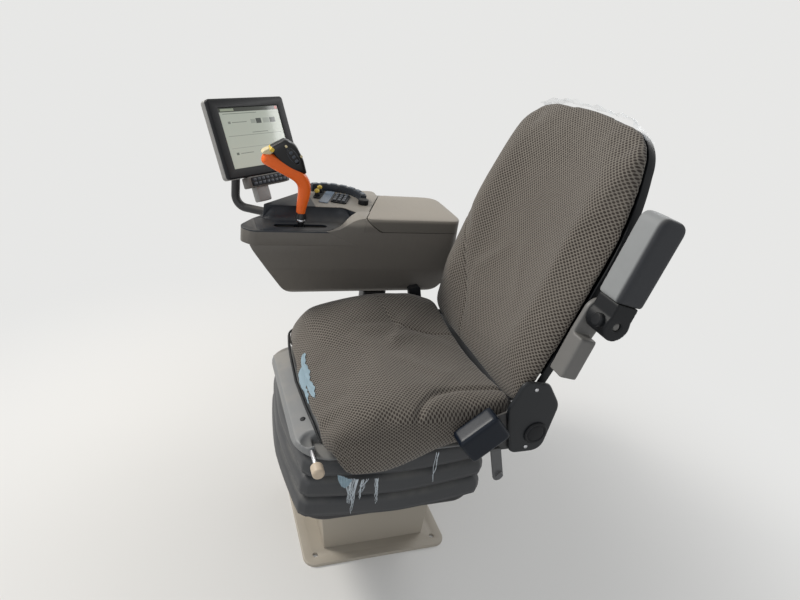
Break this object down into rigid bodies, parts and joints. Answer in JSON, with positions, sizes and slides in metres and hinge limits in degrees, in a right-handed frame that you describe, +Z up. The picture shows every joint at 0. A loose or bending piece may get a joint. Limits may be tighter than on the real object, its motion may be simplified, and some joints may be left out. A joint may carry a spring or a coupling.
{
  "type": "combine harvester operator's seat with control armrest",
  "caption": "Operator's seat on a bellows suspension and floor pedestal, with a folding armrest, a control console, a drive handle and a tilting display.",
  "frame": {"origin": "centre of the pedestal's bolt pattern on the floor, at the underside of the floor plate", "axes": "+Z up, -Y the way the seat faces, +X the operator's left; the control console is at -X"},
  "size_m": [0.9778, 0.8737, 1.0962],
  "materials": {
    "pedestal_paint": "satin",
    "black_steel": "satin",
    "bright_steel": "satin",
    "bellows_rubber": "matt",
    "grey_plastic": "fine grain",
    "black_plastic": "fine grain",
    "seat_fabric": "woven",
    "armrest_foam": "fine grain",
    "beige_plastic": "satin",
    "console_plastic": "fine grain",
    "pad_plastic": "fine grain",
    "deck_plastic": "satin",
    "handle_orange": "satin",
    "handle_black": "satin",
    "display_grey": "satin",
    "display_glass": "gloss"
  },
  "bodies": {
    "base": {"floor_plate": "pedestal_paint", "pedestal": "pedestal_paint", "suspension_tray": "black_steel", "bellows": "bellows_rubber", "suspension_cover": "grey_plastic", "top_plate": "black_steel", "rail_left": "bright_steel", "rail_right": "bright_steel", "height_lever": "bright_steel", "lever_knob": "beige_plastic"},
    "seat": {"carriage_left": "bright_steel", "carriage_right": "bright_steel", "seat_pan": "black_steel", "recline_pin": "bright_steel", "cross_member": "black_steel", "cushion": "seat_fabric", "side_plate_left": "black_steel", "side_plate_right": "black_steel", "side_cover_left": "grey_plastic", "side_cover_right": "black_plastic", "belt_retractor": "black_plastic", "belt_anchor": "bright_steel", "belt_buckle": "black_plastic", "console_bracket": "black_steel"},
    "backrest": {"back_cushion": "seat_fabric", "back_shell": "black_plastic", "recliner_arm_left": "black_steel", "recliner_arm_right": "black_steel", "armrest_bracket": "grey_plastic"},
    "left_armrest": {"armrest_core": "grey_plastic", "armrest_pad": "armrest_foam", "armrest_knob": "black_plastic"},
    "console": {"console_post": "black_steel", "console_tub": "console_plastic", "deck_surround": "console_plastic", "console_deck": "deck_plastic", "button_panel": "console_plastic", "key_ridge": "deck_plastic", "keypad": "black_plastic", "touch_strip": "deck_plastic", "toggles": "black_plastic", "dial": "black_plastic", "arm_pad": "pad_plastic", "console_ledge": "console_plastic", "handle_bearing": "black_plastic", "display_arm": "display_grey"},
    "drive_handle": {"handle_shaft": "handle_black", "handle_grip": "handle_orange", "handle_thumb_panel": "handle_black"},
    "display": {"display_housing": "display_grey", "display_bezel": "black_plastic", "display_screen": "display_glass", "display_keys": "black_plastic", "display_hinge": "display_grey"}
  },
  "joints": [
    {"name": "seat_slide", "type": "slide", "parent": "base", "child": "seat", "axis": [0, 1, 0], "range_m": [0, 0.11]},
    {"name": "backrest_recline", "type": "hinge", "parent": "seat", "child": "backrest", "pos_m": [0, 0.282, 0.436], "axis": [-1, 0, 0], "range_deg": [-5, 25]},
    {"name": "armrest_fold", "type": "hinge", "parent": "backrest", "child": "left_armrest", "pos_m": [0.295, 0.343, 0.741], "axis": [1, 0, 0], "range_deg": [0, 105]},
    {"name": "console_height", "type": "slide", "parent": "seat", "child": "console", "axis": [0, 0, 1], "range_m": [-0.02, 0.04]},
    {"name": "handle_swing", "type": "hinge", "parent": "console", "child": "drive_handle", "pos_m": [-0.33, -0.152, 0.604], "axis": [1, 0, 0], "range_deg": [-18, 18]},
    {"name": "display_tilt", "type": "hinge", "parent": "console", "child": "display", "pos_m": [-0.54492, -0.30261, 0.84868], "axis": [-0.6198, 0.7848, 0], "range_deg": [-10, 10]}
  ]
}
